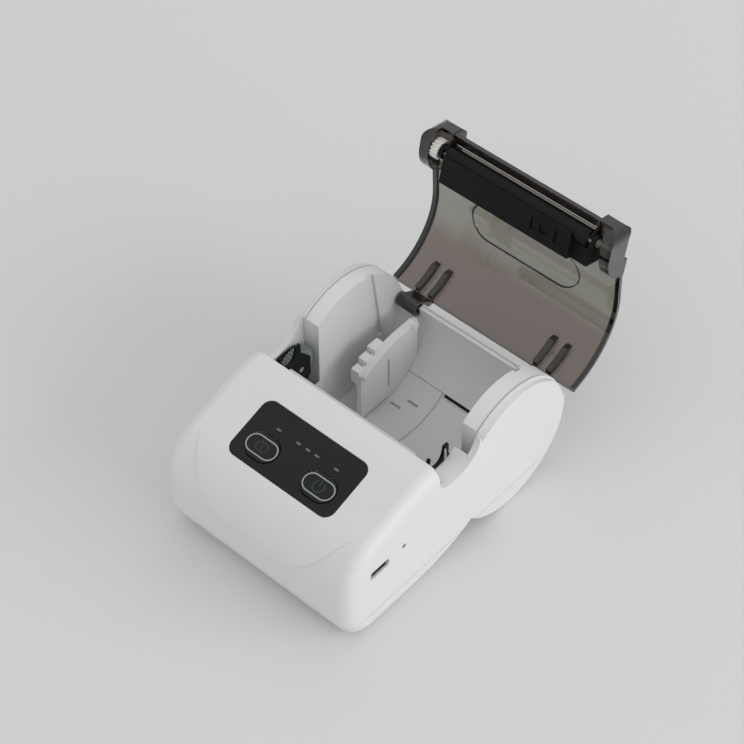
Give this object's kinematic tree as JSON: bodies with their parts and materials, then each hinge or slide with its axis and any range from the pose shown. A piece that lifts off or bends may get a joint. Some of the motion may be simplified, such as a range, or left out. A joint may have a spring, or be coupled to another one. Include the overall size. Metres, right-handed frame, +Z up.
{
  "type": "portable receipt printer",
  "caption": "Palm-sized thermal receipt printer with a rounded white body, arched roll bay, control panel and smoke lid standing open with its platen roller.",
  "frame": {"origin": "on the flat base under the control panel, on the middle plane", "axes": "+X to the printer's right, +Y from the nose towards the roll drum, +Z up from the table"},
  "size_m": [0.077, 0.1336, 0.0843],
  "materials": {
    "white_abs": "fine spark texture",
    "smoke_lid": "polished smoke polycarbonate",
    "black_label": "satin polyester label",
    "key_cap": "satin",
    "light_guide": "clear",
    "lamp_body": "clear",
    "board": "solder resist",
    "black_nylon": "moulded",
    "battery_wrap": "heat-shrink",
    "plated_steel": "nickel plated",
    "zinc_steel": "zinc plated",
    "spring_steel": "rolled strip",
    "aluminium": "extruded",
    "head_ceramic": "glazed ceramic",
    "grey_acetal": "moulded",
    "white_acetal": "moulded",
    "roller_rubber": "ground"
  },
  "bodies": {
    "housing": {"upper_housing": "white_abs", "lower_housing": "white_abs", "battery_cover": "white_abs", "roll_divider": "white_abs", "control_overlay": "black_label", "indicator_windows": "light_guide", "indicator_leds": "lamp_body", "key_board": "board", "main_board": "board", "key_switches": "black_nylon", "battery_pack": "battery_wrap", "data_socket": "plated_steel", "charge_lamp": "light_guide", "housing_screws": "zinc_steel", "hinge_pins": "plated_steel", "mechanism_frame": "black_nylon", "gear_guard": "black_nylon", "head_pivot_pin": "plated_steel", "head_springs": "spring_steel", "tear_bar": "plated_steel", "stepper_motor": "zinc_steel", "gear_shafts": "plated_steel"},
    "head": {"heat_sink": "aluminium", "print_head": "head_ceramic"},
    "feed_key": {"feed_button": "key_cap"},
    "power_key": {"power_button": "key_cap"},
    "lid": {"lid": "smoke_lid", "platen_holder": "black_nylon", "platen_bushings": "black_nylon"},
    "platen": {"platen_roller": "roller_rubber", "platen_shaft": "plated_steel", "platen_gear": "white_acetal"},
    "drive": {"drive_gear": "grey_acetal"},
    "idler": {"idler_gear": "grey_acetal"},
    "pinion": {"motor_pinion": "grey_acetal"}
  },
  "joints": [
    {"name": "lid_hinge", "type": "hinge", "parent": "housing", "child": "lid", "pos_m": [0, 0.083, 0.0291], "axis": [1, 0, 0], "range_deg": [0, 101.5]},
    {"name": "platen_spin", "type": "hinge", "parent": "lid", "child": "platen", "pos_m": [0, 0.1057, 0.07821], "axis": [1, 0, 0], "continuous": true},
    {"name": "feed_press", "type": "slide", "parent": "housing", "child": "feed_key", "axis": [0, 0.3074, -0.9516], "range_m": [0, 0.0005], "stiffness_N_per_m": 500},
    {"name": "power_press", "type": "slide", "parent": "housing", "child": "power_key", "axis": [0, 0.3074, -0.9516], "range_m": [0, 0.0005], "stiffness_N_per_m": 500},
    {"name": "head_tilt", "type": "hinge", "parent": "housing", "child": "head", "pos_m": [0, 0.02445, 0.0286], "axis": [1, 0, 0], "range_deg": [0, 1], "stiffness_Nm_per_rad": 1, "springref_deg": -1.15},
    {"name": "idler_spin", "type": "hinge", "parent": "housing", "child": "idler", "pos_m": [-0.0329, 0.02825, 0.01928], "axis": [1, 0, 0], "continuous": true},
    {"name": "drive_spin", "type": "hinge", "parent": "housing", "child": "drive", "pos_m": [-0.0329, 0.0362, 0.032], "axis": [1, 0, 0], "continuous": true},
    {"name": "pinion_spin", "type": "hinge", "parent": "housing", "child": "pinion", "pos_m": [-0.0329, 0.02229, 0.01076], "axis": [1, 0, 0], "continuous": true}
  ],
  "couplings": [
    {"joint": "drive_spin", "follows": "idler_spin", "ratio": -1.1429},
    {"joint": "pinion_spin", "follows": "idler_spin", "ratio": -3.3333}
  ]
}
